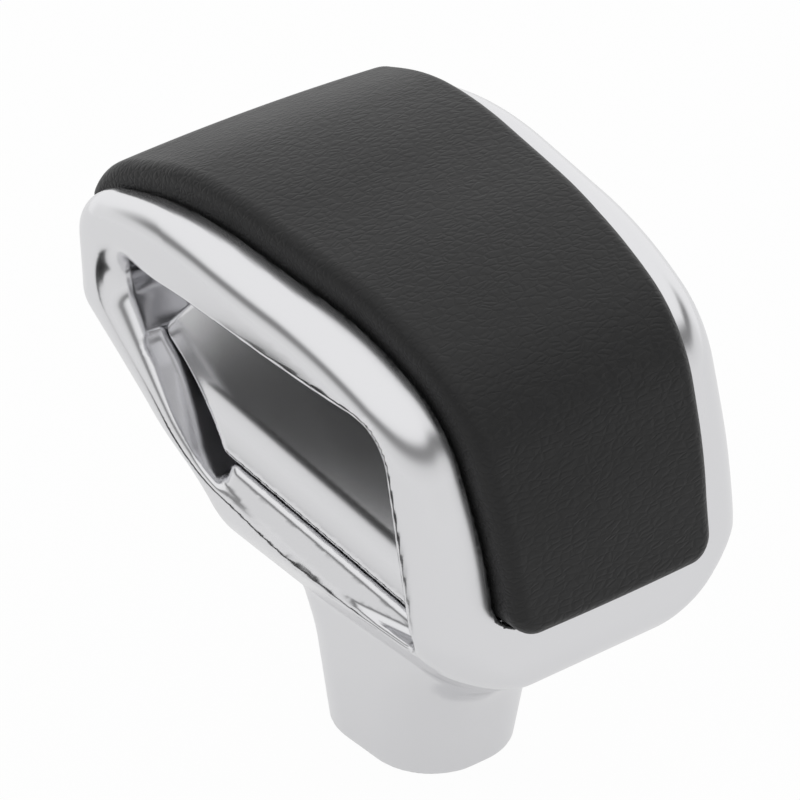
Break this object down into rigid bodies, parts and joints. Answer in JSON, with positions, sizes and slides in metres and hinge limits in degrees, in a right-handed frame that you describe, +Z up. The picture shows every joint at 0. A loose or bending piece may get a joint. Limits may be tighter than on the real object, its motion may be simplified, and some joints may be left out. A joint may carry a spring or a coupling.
{
  "type": "gear shift knob",
  "caption": "Automatic gear selector handle: metal shell on an oval neck, leather top pad, finger pockets and a side thumb release button.",
  "frame": {"origin": "centre of the lever bore's mouth, in the plane of the neck's lower end", "axes": "+Z up along the lever bore, +Y to the front of the car, -X to the driver's thumb and the release button"},
  "size_m": [0.0616, 0.085, 0.0877],
  "materials": {
    "satin_chrome": "satin chrome plating",
    "black_leather": "fine-grained matt leather",
    "foam": "closed-cell foam",
    "black_plastic": "moulded, fine matt",
    "natural_acetal": "moulded, slightly waxy",
    "spring_steel": "drawn wire and strip",
    "black_rubber": "matt"
  },
  "bodies": {
    "handle": {"handle_shell": "satin_chrome", "leather_cover": "black_leather", "foam_layer": "foam", "pad_carrier": "black_plastic", "carrier_clips": "spring_steel", "inner_core": "black_plastic", "core_screws": "spring_steel", "button_pin": "spring_steel", "button_spring": "spring_steel", "stop_bumpers": "black_rubber", "crank_pin": "spring_steel", "pin_clips": "spring_steel", "rod_spring": "spring_steel", "rod_bush": "natural_acetal", "lever_socket": "black_plastic", "retaining_ring": "spring_steel"},
    "button": {"button_cap": "satin_chrome", "button_lever": "black_plastic"},
    "crank": {"release_crank": "natural_acetal"},
    "rod": {"release_rod": "spring_steel", "rod_cap": "natural_acetal"}
  },
  "joints": [
    {"name": "button_hinge", "type": "hinge", "parent": "handle", "child": "button", "pos_m": [-0.0172, -0.018, 0.055], "axis": [0, 0, -1], "range_deg": [0, 5], "stiffness_Nm_per_rad": 0.6, "springref_deg": -20.05, "deforming": ["button_spring"]},
    {"name": "crank_pivot", "type": "hinge", "parent": "handle", "child": "crank", "pos_m": [-0.01, 0, 0.047], "axis": [0, 1, 0], "range_deg": [0, 12.5]},
    {"name": "rod_slide", "type": "slide", "parent": "handle", "child": "rod", "axis": [0, 0, -1], "range_m": [0, 0.00218], "deforming": ["rod_spring"]}
  ],
  "couplings": [
    {"joint": "crank_pivot", "follows": "button_hinge", "ratio": 2.5},
    {"joint": "rod_slide", "follows": "button_hinge", "m_per_rad": 0.025}
  ]
}
